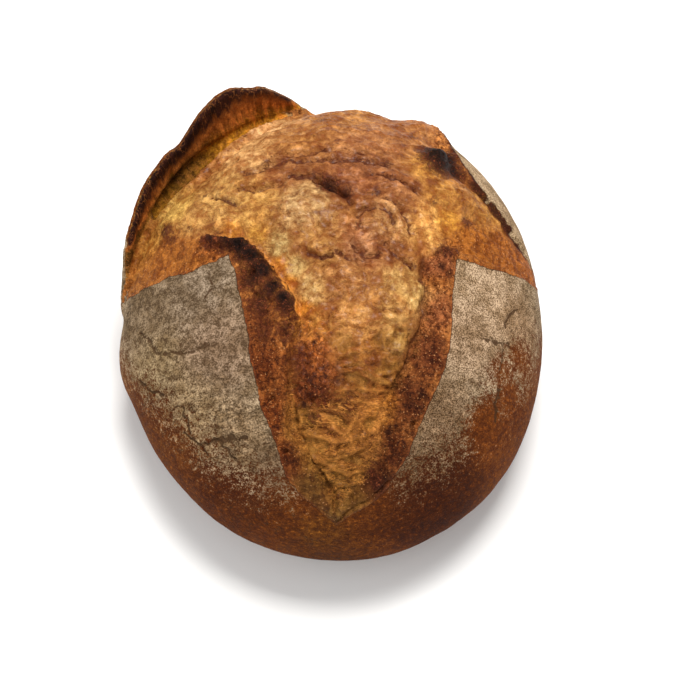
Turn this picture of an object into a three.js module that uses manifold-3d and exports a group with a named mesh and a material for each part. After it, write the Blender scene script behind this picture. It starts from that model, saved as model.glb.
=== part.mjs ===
// A round sourdough loaf, scored with a cross and baked open, as one solid.
// Millimetres, +Z up, -Y the front. The loaf rests on a flat base at z = 0, centred on the origin.
//
// Its skin is described on a flat map: the crown of the loaf is the map's origin, a point's distance from
// it is the length of crust between them, and its direction is the same as on the loaf seen from above.
import * as THREE from "three";
import { mergeVertices } from "three/addons/utils/BufferGeometryUtils.js";
import Module from "manifold-3d";

// Body
const WIDTH = 230; // X
const DEPTH = 264; // Y
const CROWN_HEIGHT = 110;
const WAIST_HEIGHT = 37; // the widest line round the loaf
const PLAN_POWER = 2.1; // 2 is an ellipse seen from above, more is squarer
const DOME_POWERS = { reach: 2.3, rise: 2.1 };
const FOOT_POWERS = { reach: 2.4, rise: 2.4 };
const FOOT_DROP = 1.35 * WAIST_HEIGHT; // the underside's curve would end here if the base were not flat
const FLAT_SIDE = { angle: -130, spread: 32, depth: 0.03 }; // degrees, degrees, share of the radius
const MESH_DETAIL = 17; // subdivisions of the icosahedron that the body starts from

// Score: where the four crust flaps tore apart, as points on the skin map
const LEFT_END = [-166, 16];
const RIGHT_END = [160, 26];
const FRONT_END = [2, -128];
const BACK_END = [14, 166];
const FAR = 420; // past the middle of the base on the map
const FLAPS = [
  {
    edge: [LEFT_END, [-125, 5], [-77, 4], [-57, 11], [-46, -30], [-32, -75], [-20, -108], FRONT_END],
    outer: [[0, -FAR], [-FAR, -FAR], [-FAR, 0]],
    lip: 2.5,
  },
  {
    edge: [FRONT_END, [27, -108], [52, -60], [62, -30], [67, 9], [110, 11], RIGHT_END],
    outer: [[FAR, 0], [FAR, -FAR], [0, -FAR]],
    lip: 2,
  },
  {
    edge: [RIGHT_END, [125, 36], [95, 58], [68, 78], [60, 92], [50, 118], [34, 144], BACK_END],
    outer: [[0, FAR], [FAR, FAR], [FAR, 0]],
    lip: 2.5,
  },
  {
    edge: [BACK_END, [-2, 146], [-25, 126], [-50, 104], [-72, 80], [-105, 62], [-140, 40], LEFT_END],
    outer: [[-FAR, 0], [-FAR, FAR], [0, FAR]],
    lip: 1,
  },
];
const LIP_WIDTH = 14;
const BLOOM_RISE = 3; // how far the torn middle swells
const BLOOM_REACH = 34; // and how far from its edges it takes to swell
const GROOVE = { at: 9, depth: 4, spread: 7 }; // along the foot of each flap's edge
const TEAR_WIDTH = 8; // from the lip down to the groove
const CLOSING = [105, 160]; // lengths of crust from the crown between which the tear closes up
const KNOB = { at: [64, 82], height: 5, spread: 9 }; // the burnt corner of the back right flap

// Ear: the rim of the back left flap, standing up like a collar
const EAR_RIM = [
  // bearing from +X in degrees, height of the rim
  [176, 46],
  [165, 72],
  [152, 86],
  [138, 89],
  [128, 92],
  [119, 99],
  [112, 97],
  [105, 80],
  [96, 50],
];
const EAR_STATIONS = 26;
const EAR_ROOT = { height: 46, reach: 0.8 }; // inside the body; reach is a share of the plan radius
const EAR_SECTION = [
  // reach, and share of the way from the root up to the rim
  [0.94, 0],
  [0.985, 0.22],
  [1.0, 0.5],
  [1.002, 0.88],
  [0.986, 1],
  [0.968, 0.93],
  [0.938, 0.66],
  [0.88, 0.42],
];

const wasm = await Module();
wasm.setup();

const { degToRad, smoothstep, lerp, clamp } = THREE.MathUtils;

function planRadius(angle) {
  const side = Math.abs(Math.cos(angle)) / (WIDTH / 2);
  const end = Math.abs(Math.sin(angle)) / (DEPTH / 2);
  const round = (side ** PLAN_POWER + end ** PLAN_POWER) ** (-1 / PLAN_POWER);
  const off = (angle - degToRad(FLAT_SIDE.angle)) / degToRad(FLAT_SIDE.spread);
  return round * (1 - FLAT_SIDE.depth * Math.exp(-off * off));
}

// The loaf's side view: turn is 0 at the crown, a right angle at the waist and half a turn under the base.
function profile(turn) {
  const dome = turn <= Math.PI / 2;
  const powers = dome ? DOME_POWERS : FOOT_POWERS;
  const reach = Math.max(Math.sin(turn), 0) ** (2 / powers.reach);
  const share = Math.abs(Math.cos(turn)) ** (2 / powers.rise);
  const height = WAIST_HEIGHT + (dome ? (CROWN_HEIGHT - WAIST_HEIGHT) * share : -FOOT_DROP * share);
  return { reach, height: Math.max(height, 0) };
}

// Length of crust from the crown, for equal steps of turn
function crustLengths(steps) {
  const radius = (WIDTH + DEPTH) / 4;
  const lengths = [0];
  for (let i = 1; i <= steps; i++) {
    const a = profile(((i - 1) / steps) * Math.PI);
    const b = profile((i / steps) * Math.PI);
    lengths.push(lengths[i - 1] + Math.hypot((b.reach - a.reach) * radius, b.height - a.height));
  }
  return lengths;
}

const CRUST_LENGTHS = crustLengths(360);

function crustLength(turn) {
  const place = (turn / Math.PI) * (CRUST_LENGTHS.length - 1);
  const i = Math.min(Math.floor(place), CRUST_LENGTHS.length - 2);
  return lerp(CRUST_LENGTHS[i], CRUST_LENGTHS[i + 1], place - i);
}

function distanceToSegment([x, y], [ax, ay], [bx, by]) {
  const length2 = (bx - ax) ** 2 + (by - ay) ** 2;
  const share = clamp(((x - ax) * (bx - ax) + (y - ay) * (by - ay)) / length2, 0, 1);
  return Math.hypot(x - ax - share * (bx - ax), y - ay - share * (by - ay));
}

function isInside([x, y], outline) {
  let inside = false;
  outline.forEach(([ax, ay], i) => {
    const [bx, by] = outline[(i + 1) % outline.length];
    if (ay > y !== by > y && x < ax + ((bx - ax) * (y - ay)) / (by - ay)) inside = !inside;
  });
  return inside;
}

// Distance from the flap's torn edge, positive on the flap
function depthIntoFlap(spot, flap) {
  const steps = flap.edge.slice(1).map((end, i) => distanceToSegment(spot, flap.edge[i], end));
  const nearest = Math.min(...steps);
  return isInside(spot, [...flap.edge, ...flap.outer]) ? nearest : -nearest;
}

// A smooth bump, 1 in its middle
const bump = (distance, spread) => Math.exp(-((distance / spread) ** 2));

// How far the crust stands out from the plain body at a spot on the skin map
function relief(spot) {
  const depths = FLAPS.map((flap) => depthIntoFlap(spot, flap));
  const depth = Math.max(...depths);
  const open = 1 - smoothstep(Math.hypot(...spot), ...CLOSING);
  const lip = open * FLAPS[depths.indexOf(depth)].lip;
  const knob = KNOB.height * bump(Math.hypot(spot[0] - KNOB.at[0], spot[1] - KNOB.at[1]), KNOB.spread);
  if (depth > 0) return lip * Math.exp(-depth / LIP_WIDTH) + knob;
  const swell = BLOOM_RISE * smoothstep(-depth, 0, BLOOM_REACH);
  const groove = open * GROOVE.depth * bump(-depth - GROOVE.at, GROOVE.spread);
  return lerp(lip, swell - groove, smoothstep(-depth, 0, TEAR_WIDTH)) + knob;
}

function bodyPoint(direction) {
  const angle = Math.atan2(direction.y, direction.x);
  const turn = Math.acos(clamp(direction.z, -1, 1));
  const { reach, height } = profile(turn);
  const radius = planRadius(angle) * reach;
  const point = new THREE.Vector3(radius * Math.cos(angle), radius * Math.sin(angle), height);
  const outward = new THREE.Vector3(
    point.x / (WIDTH / 2) ** 2,
    point.y / (DEPTH / 2) ** 2,
    (height - WAIST_HEIGHT) / (CROWN_HEIGHT - WAIST_HEIGHT) ** 2,
  ).normalize();
  const length = crustLength(turn);
  const onBase = height === 0;
  if (!onBase) point.addScaledVector(outward, relief([length * Math.cos(angle), length * Math.sin(angle)]));
  return point.setZ(Math.max(point.z, 0));
}

function makeBody() {
  const ball = new THREE.IcosahedronGeometry(1, MESH_DETAIL);
  ball.deleteAttribute("normal");
  ball.deleteAttribute("uv");
  const body = mergeVertices(ball);
  const position = body.getAttribute("position");
  const direction = new THREE.Vector3();
  for (let i = 0; i < position.count; i++) {
    direction.fromBufferAttribute(position, i).normalize();
    position.setXYZ(i, ...bodyPoint(direction).toArray());
  }
  return body;
}

// The ear's rim as a smooth curve through its points: x is the bearing, y the height.
function earRim() {
  const points = EAR_RIM.map(([bearing, height]) => new THREE.Vector3(bearing, height, 0));
  return new THREE.CatmullRomCurve3(points, false, "centripetal");
}

function makeEar() {
  const rim = earRim();
  const ringSize = EAR_SECTION.length + 1;
  const vertices = [];
  const faces = [];
  for (let i = 0; i <= EAR_STATIONS; i++) {
    const { x: bearing, y: rimHeight } = rim.getPoint(i / EAR_STATIONS);
    const angle = degToRad(bearing);
    const section = EAR_SECTION.map(([reach, share]) => [
      reach,
      lerp(EAR_ROOT.height, Math.max(rimHeight, EAR_ROOT.height + 2), share),
    ]);
    for (const [reach, height] of [...section, [EAR_ROOT.reach, EAR_ROOT.height - 4]]) {
      const radius = planRadius(angle) * reach;
      vertices.push(radius * Math.cos(angle), radius * Math.sin(angle), height);
    }
  }
  const at = (station, k) => station * ringSize + (k % ringSize);
  for (let i = 0; i < EAR_STATIONS; i++) {
    for (let k = 0; k < ringSize; k++) {
      faces.push(at(i, k), at(i, k + 1), at(i + 1, k + 1));
      faces.push(at(i, k), at(i + 1, k + 1), at(i + 1, k));
    }
  }
  for (let k = 1; k < ringSize - 1; k++) {
    faces.push(at(0, 0), at(0, k + 1), at(0, k));
    faces.push(at(EAR_STATIONS, 0), at(EAR_STATIONS, k), at(EAR_STATIONS, k + 1));
  }
  const ear = new THREE.BufferGeometry();
  ear.setAttribute("position", new THREE.Float32BufferAttribute(vertices, 3));
  ear.setIndex(faces);
  return ear;
}

function toSolid(geometry) {
  return new wasm.Manifold(
    new wasm.Mesh({
      numProp: 3,
      vertProperties: new Float32Array(geometry.getAttribute("position").array),
      triVerts: new Uint32Array(geometry.index.array),
    }),
  );
}

function toGeometry(solid) {
  const { vertProperties, triVerts } = solid.getMesh();
  const geometry = new THREE.BufferGeometry();
  geometry.setAttribute("position", new THREE.BufferAttribute(vertProperties, 3));
  geometry.setIndex(new THREE.BufferAttribute(triVerts, 1));
  return geometry;
}

// Centres the finished loaf on the origin, with its base at z = 0.
function centre(geometry) {
  geometry.computeBoundingBox();
  const { min, max } = geometry.boundingBox;
  geometry.translate(-(min.x + max.x) / 2, -(min.y + max.y) / 2, -min.z);
  geometry.computeVertexNormals();
  return geometry;
}

const crust = new THREE.MeshStandardMaterial({ color: 0xa86c38, roughness: 0.75, metalness: 0 });
const loaf = new THREE.Mesh(centre(toGeometry(toSolid(makeBody()).add(toSolid(makeEar())))), crust);
loaf.name = "loaf";

const group = new THREE.Group();
group.add(loaf);

export default group;
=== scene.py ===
import math

import bpy
import numpy as np
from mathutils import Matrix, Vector


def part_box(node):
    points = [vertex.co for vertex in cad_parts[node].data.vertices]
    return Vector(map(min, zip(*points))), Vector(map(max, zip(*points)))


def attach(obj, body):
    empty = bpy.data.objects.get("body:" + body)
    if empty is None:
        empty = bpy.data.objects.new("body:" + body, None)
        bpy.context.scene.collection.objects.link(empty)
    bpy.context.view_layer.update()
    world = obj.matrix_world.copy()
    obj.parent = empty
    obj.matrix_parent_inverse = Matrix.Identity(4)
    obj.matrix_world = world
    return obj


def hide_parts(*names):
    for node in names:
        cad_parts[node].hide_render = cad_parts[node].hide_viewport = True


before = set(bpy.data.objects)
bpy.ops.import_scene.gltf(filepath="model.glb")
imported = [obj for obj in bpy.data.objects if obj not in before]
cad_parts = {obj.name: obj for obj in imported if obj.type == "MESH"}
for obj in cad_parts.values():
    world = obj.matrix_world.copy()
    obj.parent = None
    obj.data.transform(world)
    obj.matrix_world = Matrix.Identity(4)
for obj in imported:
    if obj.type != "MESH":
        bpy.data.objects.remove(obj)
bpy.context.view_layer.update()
cadLow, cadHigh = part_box("loaf")
toMetres = 0.001

# Sizes and places below are in millimetres.
# Places on the crust are (x, y) on a flat map of it: the crown is (0, 0), and a place's distance from
# the crown is the length of crust between them. -y is the front of the loaf.

# Camera, light and floor
studio = {
    "aim": (9, -18.5, 50),
    "cameraTilt": 65,  # degrees above the floor
    "cameraDistance": 800,
    "lens": 76,
    "worldLight": 0.5,
    "floorTint": (0.93, 0.925, 0.915),
    "floorSize": 6000,
}


def addCamera():
    tilt = math.radians(studio["cameraTilt"])
    aim = Vector(studio["aim"]) * toMetres
    back = Vector((0, -math.cos(tilt), math.sin(tilt))) * studio["cameraDistance"] * toMetres
    bpy.ops.object.camera_add(location=aim + back, rotation=(math.radians(90) - tilt, 0, 0))
    camera = bpy.context.object
    camera.data.lens = studio["lens"]
    bpy.context.scene.camera = camera


def addSoftLight(name, place, aim, size, power, tint=(1, 1, 1)):
    spot = Vector(place) * toMetres
    turn = (Vector(aim) * toMetres - spot).to_track_quat("-Z", "Y").to_euler()
    bpy.ops.object.light_add(type="AREA", location=spot, rotation=turn)
    light = bpy.context.object
    light.name = name
    light.data.shape = "RECTANGLE"
    light.data.size, light.data.size_y = size[0] * toMetres, size[1] * toMetres
    light.data.energy = power
    light.data.color = tint


def addLights():
    addSoftLight("topLight", (120, 420, 1290), (0, 0, 40), (560, 440), 19.5, (1, 0.985, 0.96))
    addSoftLight("leftFill", (-1100, -300, 700), (0, 0, 50), (900, 900), 4)
    addSoftLight("frontFill", (400, -1200, 600), (0, 0, 50), (1200, 700), 4)


def addWorld():
    world = bpy.data.worlds.new("studioAir")
    world.use_nodes = True
    world.node_tree.nodes["Background"].inputs["Color"].default_value = (1, 1, 1, 1)
    world.node_tree.nodes["Background"].inputs["Strength"].default_value = studio["worldLight"]
    bpy.context.scene.world = world
    bpy.context.scene.view_settings.view_transform = "Standard"


def addFloor():
    bpy.ops.mesh.primitive_plane_add(size=studio["floorSize"] * toMetres, location=(0, 0, 0))
    floor = bpy.context.object
    floor.name = "floor"
    finish = bpy.data.materials.new("floorPaint")
    finish.use_nodes = True
    shader = finish.node_tree.nodes["Principled BSDF"]
    shader.inputs["Base Color"].default_value = (*studio["floorTint"], 1)
    shader.inputs["Roughness"].default_value = 0.9
    floor.data.materials.append(finish)


# Smooth random patterns
def randomTable(seed):
    dice = np.random.RandomState(seed)
    spin = dice.uniform(0, 2 * math.pi, 256)
    rise = dice.uniform(-1, 1, 256)
    flat = np.sqrt(1 - rise**2)
    return dice.permutation(256), np.stack([flat * np.cos(spin), flat * np.sin(spin), rise], 1)


def cellNumber(shuffle, x, y, z):
    return shuffle[(shuffle[(shuffle[x & 255] + y) & 255] + z) & 255]


def softNoise(points, size, seed):
    # gradient noise of about -1 to 1, with bumps about size across
    shuffle, slopes = randomTable(seed)
    place = points / size
    base = np.floor(place).astype(int)
    part = place - base
    ease = part**3 * (part * (part * 6 - 15) + 10)
    total = np.zeros(len(points))
    for step in np.ndindex(2, 2, 2):
        corner = cellNumber(shuffle, *(base + step).T)
        share = np.prod(np.where(step, ease, 1 - ease), axis=1)
        total += share * np.einsum("ij,ij->i", slopes[corner], part - step)
    return total * 1.6


def layeredNoise(points, size, seed, layers=4, fade=0.5):
    total = sum(fade**i * softNoise(points, size / 2**i, seed + i) for i in range(layers))
    return total / sum(fade**i for i in range(layers))


def ridgedNoise(points, size, seed, layers=3):
    # sharp crests at 1, flat valleys towards 0
    total = 0
    for i in range(layers):
        fold = np.minimum(np.abs(softNoise(points, size / 2**i, seed + i)), 1)
        total += (1 - fold) ** 2.5 * 0.5**i
    return total / sum(0.5**i for i in range(layers))


def puffyNoise(points, size, seed, layers=3):
    # rounded lumps at 1 with sharp creases at 0 between them
    total = 0
    for i in range(layers):
        total += np.minimum(2.2 * np.abs(softNoise(points, size / 2**i, seed + i)), 1) * 0.55**i
    return total / sum(0.55**i for i in range(layers))


def shifts(points, size, seed, axes=3):
    # a smooth random shift for each point, along each of the axes
    return np.stack([softNoise(points, size, seed + i) for i in range(axes)], 1)


def cellDistances(points, size, seed):
    # distances to the two nearest random seeds, in cell sizes
    shuffle, offsets = randomTable(seed)
    place = points / size
    base = np.floor(place).astype(int)
    first = np.full(len(points), 9.0)
    second = np.full(len(points), 9.0)
    for step in np.ndindex(3, 3, 3):
        cell = base + step - 1
        centre = cell + 0.5 + offsets[cellNumber(shuffle, *cell.T)] * 0.42
        away = np.linalg.norm(centre - place, axis=1)
        second = np.minimum(second, np.maximum(first, away))
        first = np.minimum(first, away)
    return first, second


def ramp(value, start, end):
    share = np.clip((value - start) / (end - start), 0, 1)
    return share * share * (3 - 2 * share)


def bump(distance, spread):
    return np.exp(-((distance / spread) ** 2))


def blob(spots, place, spread):
    # 1 at the place, fading to 0 all round it
    return bump(np.linalg.norm(spots - place, axis=1), spread)


def blobs(spots, patches):
    return np.max([blob(spots, place, spread) for place, spread in patches], axis=0)


# Plain body that the crust's flat map is measured on
waistHeight = 37  # of the widest line
body = {
    "halfWidth": (cadHigh.x - cadLow.x) / 2 / toMetres,
    "halfDepth": (cadHigh.y - cadLow.y) / 2 / toMetres,
    "crown": (cadHigh.z - cadLow.z) / toMetres - 3,  # the torn middle swells 3 above the plain dome
    "waist": waistHeight,
    "planPower": 2.1,
    "domePowers": (2.3, 2.1),
    "footPowers": (2.4, 2.4),
    "footDrop": 1.35 * waistHeight,  # the foot's curve is cut off by the flat underside
    "flatSide": (-130, 32, 0.03),  # bearing, spread, share of the radius
}


def planRadius(bearing):
    side = np.abs(np.cos(bearing)) / body["halfWidth"]
    end = np.abs(np.sin(bearing)) / body["halfDepth"]
    power = body["planPower"]
    middle, spread, depth = body["flatSide"]
    dent = depth * bump(bearing - math.radians(middle), math.radians(spread))
    return (side**power + end**power) ** (-1 / power) * (1 - dent)


def profile(turn):
    # turn is 0 at the crown, a right angle at the waist and half a turn under the base
    dome = turn <= math.pi / 2
    reachPower = np.where(dome, body["domePowers"][0], body["footPowers"][0])
    risePower = np.where(dome, body["domePowers"][1], body["footPowers"][1])
    reach = np.clip(np.sin(turn), 0, 1) ** (2 / reachPower)
    rise = np.where(dome, body["crown"] - body["waist"], -body["footDrop"])
    height = body["waist"] + rise * np.abs(np.cos(turn)) ** (2 / risePower)
    return reach, np.maximum(height, 0)


turnSteps = np.linspace(0, math.pi, 721)
reachSteps, heightSteps = profile(turnSteps)
meanRadius = (body["halfWidth"] + body["halfDepth"]) / 2
stepLengths = np.hypot(np.diff(reachSteps * meanRadius), np.diff(heightSteps))
crustLengths = np.concatenate([[0], np.cumsum(stepLengths)])


def readCrust(points):
    # for each point: its place on the map, its bearing, its share of the plan radius,
    # and how far it stands off the plain body
    bearing = np.arctan2(points[:, 1], points[:, 0])
    reach = np.hypot(points[:, 0], points[:, 1]) / planRadius(bearing)
    above = points[:, 2] >= body["waist"]
    rise = np.where(above, body["crown"] - body["waist"], body["footDrop"])
    share = np.abs(points[:, 2] - body["waist"]) / rise
    across = reach ** (np.where(above, body["domePowers"][0], body["footPowers"][0]) / 2)
    up = share ** (np.where(above, body["domePowers"][1], body["footPowers"][1]) / 2)
    turn = np.arctan2(across, np.where(above, up, -up))
    length = np.interp(turn, turnSteps, crustLengths)
    spot = np.stack([length * np.cos(bearing), length * np.sin(bearing)], 1)
    return spot, bearing, reach, across**2 + up**2 - 1


def distanceToLine(spots, line):
    nearest = np.full(len(spots), 1e6)
    for start, end in zip(np.array(line[:-1], float), np.array(line[1:], float)):
        along = end - start
        share = np.clip((spots - start) @ along / (along @ along), 0, 1)
        nearest = np.minimum(nearest, np.linalg.norm(spots - start - share[:, None] * along, axis=1))
    return nearest


def isInside(spots, outline):
    inside = np.zeros(len(spots), bool)
    x, y = spots[:, 0], spots[:, 1]
    for (ax, ay), (bx, by) in zip(outline, outline[1:] + outline[:1]):
        if ay != by:
            crosses = ((ay > y) != (by > y)) & (x < ax + (bx - ax) * (y - ay) / (by - ay))
            inside ^= crosses
    return inside


def depthInside(spots, edge, outer=()):
    # distance from the edge line, positive inside; outer closes the outline without counting as an edge
    nearest = distanceToLine(spots, edge if outer else edge + edge[:1])
    return np.where(isInside(spots, edge + list(outer)), nearest, -nearest)


# The score: each flap's edge and the bloom's outline, as places on the map
far = 420  # past the middle of the base on the map
leftEnd, rightEnd, frontEnd, backEnd = (-166, 16), (160, 26), (2, -128), (14, 166)
score = {
    "frontLeft": {
        "edge": [leftEnd, (-125, 5), (-100, 4), (-77, 4), (-64, 7), (-57, 11), (-53, 0), (-49, -15),
                 (-46, -30), (-42, -45), (-37, -60), (-32, -75), (-27, -90), (-21, -106), frontEnd],
        "outer": [(0, -far), (-far, -far), (-far, 0)],
    },
    "frontRight": {
        "edge": [frontEnd, (27, -108), (37, -90), (44, -75), (53, -58), (59, -43), (63, -28), (64, -14),
                 (67, 9), (90, 9), (110, 11), (130, 15), rightEnd],
        "outer": [(far, 0), (far, -far), (0, -far)],
    },
    "backRight": {
        "edge": [rightEnd, (125, 36), (110, 46), (95, 58), (84, 68), (75, 82), (69, 97), (62, 113),
                 (44, 140), backEnd],
        "outer": [(0, far), (far, far), (far, 0)],
    },
    "backLeft": {
        "edge": [backEnd, (-2, 146), (-25, 126), (-50, 104), (-60, 92), (-72, 80), (-86, 71), (-105, 62),
                 (-140, 40), leftEnd],
        "outer": [(-far, 0), (-far, far), (0, far)],
    },
    "bloom": [(-150, 30), (-118, 40), (-98, 42), (-92, 32), (-80, 25), (-65, 24), (-47, 18), (-37, 8),
              (-30, -6), (-20, -18), (-17, -28), (-20, -45), (-22, -62), (-21, -80), (-14, -92),
              (-6, -104), (1, -118), (10, -112), (19, -104), (24, -92), (23, -80), (27, -70), (34, -58),
              (42, -42), (50, -25), (53, -8), (51, 5), (58, 17), (66, 24), (72, 34), (80, 41), (100, 44),
              (118, 36), (145, 28), (118, 42), (104, 50), (90, 62), (78, 70), (64, 74), (58, 90),
              (55, 112), (40, 134), (14, 152), (2, 142), (-22, 121), (-46, 100), (-56, 89), (-69, 76),
              (-84, 67), (-104, 58), (-138, 37)],
    "closing": (105, 160),  # lengths of crust between which the tear closes up
}


def tearDepths(spots):
    flaps = {name: depthInside(spots, score[name]["edge"], score[name]["outer"])
             for name in ("frontLeft", "frontRight", "backRight", "backLeft")}
    return flaps, depthInside(spots, score["bloom"])


# Helpers for meshes
def selectOnly(piece):
    bpy.ops.object.select_all(action="DESELECT")
    piece.select_set(True)
    bpy.context.view_layer.objects.active = piece


def readPoints(piece):
    flat = np.empty(len(piece.data.vertices) * 3)
    piece.data.vertices.foreach_get("co", flat)
    return flat.reshape(-1, 3) / toMetres


def writePoints(piece, points):
    piece.data.vertices.foreach_set("co", (points * toMetres).ravel())
    piece.data.update()


def readNormals(piece):
    flat = np.empty(len(piece.data.vertices) * 3)
    piece.data.vertex_normals.foreach_get("vector", flat)
    return flat.reshape(-1, 3)


def applyModifier(piece, kind, name, **settings):
    selectOnly(piece)
    modifier = piece.modifiers.new(name, kind)
    for key, value in settings.items():
        setattr(modifier, key, value)
    bpy.ops.object.modifier_apply(modifier=name)


# The ear: the back left flap, which stands up
ear = {
    # bearing in degrees, height of the rim
    "rim": [(178, 49), (170, 64), (162, 76), (154, 84), (147, 89), (140, 90), (136, 87), (133, 84),
            (129, 92), (125, 98), (121, 101), (116, 101), (112, 96), (108, 93), (104, 84), (100, 72),
            (94, 50)],
    "rootHeight": 42,
    "reach": (0.926, 0.99),  # share of the plan radius at the root and at the rim
    "thickness": (13, 4.2),
    "ragged": 2.2,  # how much the rim's height wanders
    "wave": 1.8,  # how far it waves in and out
    "meshSteps": (120, 24),
}


def addDough():
    bpy.ops.object.select_all(action="DESELECT")
    bpy.ops.mesh.primitive_ico_sphere_add(subdivisions=7, radius=toMetres)
    dough = bpy.context.object
    dough.name = "loafCrust"
    direction = readPoints(dough)
    direction /= np.linalg.norm(direction, axis=1)[:, None]
    bearing = np.arctan2(direction[:, 1], direction[:, 0])
    reach, height = profile(np.arccos(np.clip(direction[:, 2], -1, 1)))
    radius = planRadius(bearing) * reach
    writePoints(dough, np.stack([radius * np.cos(bearing), radius * np.sin(bearing), height], 1))
    return dough


def addEar():
    # a sheet of crust that carries on up from the loaf's side, thick at its root and thin at its rim
    bpy.ops.object.select_all(action="DESELECT")
    stepsAlong, stepsUp = ear["meshSteps"]
    bpy.ops.mesh.primitive_grid_add(x_subdivisions=stepsAlong, y_subdivisions=stepsUp, size=2 * toMetres)
    flap = bpy.context.object
    flap.name = "ear"
    sheet = readPoints(flap)
    along, up = (sheet[:, 0] + 1) / 2, (sheet[:, 1] + 1) / 2
    bearings, heights = np.array(ear["rim"], float).T
    bearing = bearings[0] + (bearings[-1] - bearings[0]) * along
    rim = np.interp(-bearing, -bearings, heights)
    ragged = layeredNoise(np.stack([bearing, up * 0, up * 0], 1), 7, 11, 3, 0.7)
    rim += ear["ragged"] * ragged * ramp(rim, 55, 75)
    height = ear["rootHeight"] + (rim - ear["rootHeight"]) * up
    lean = ear["reach"][0] + (ear["reach"][1] - ear["reach"][0]) * ramp(up, 0, 0.75)
    wave = ear["wave"] * softNoise(np.stack([bearing, up * 25, up * 0], 1), 14, 12) * up
    radius = planRadius(np.radians(bearing)) * lean + wave
    angle = np.radians(bearing)
    writePoints(flap, np.stack([radius * np.cos(angle), radius * np.sin(angle), height], 1))
    thick = flap.vertex_groups.new(name="thick")
    rootThickness, rimThickness = ear["thickness"]
    for index, share in enumerate(1 - ramp(up, 0.1, 0.95)):
        thick.add([index], float(share), "REPLACE")
    applyModifier(flap, "SOLIDIFY", "wall", thickness=rootThickness * toMetres, offset=0,
                  vertex_group="thick", thickness_vertex_group=rimThickness / rootThickness)
    return flap


def joinPieces(main, other):
    bpy.ops.object.select_all(action="DESELECT")
    other.select_set(True)
    main.select_set(True)
    bpy.context.view_layer.objects.active = main
    bpy.ops.object.join()


def remesh(piece, size, smoothTurns):
    applyModifier(piece, "REMESH", "even", mode="VOXEL", voxel_size=size * toMetres)
    applyModifier(piece, "SMOOTH", "soften", factor=0.5, iterations=smoothTurns)


def layOnFloor(piece):
    points = readPoints(piece)
    points[:, 2] = np.maximum(points[:, 2], 0)
    writePoints(piece, points)


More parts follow.
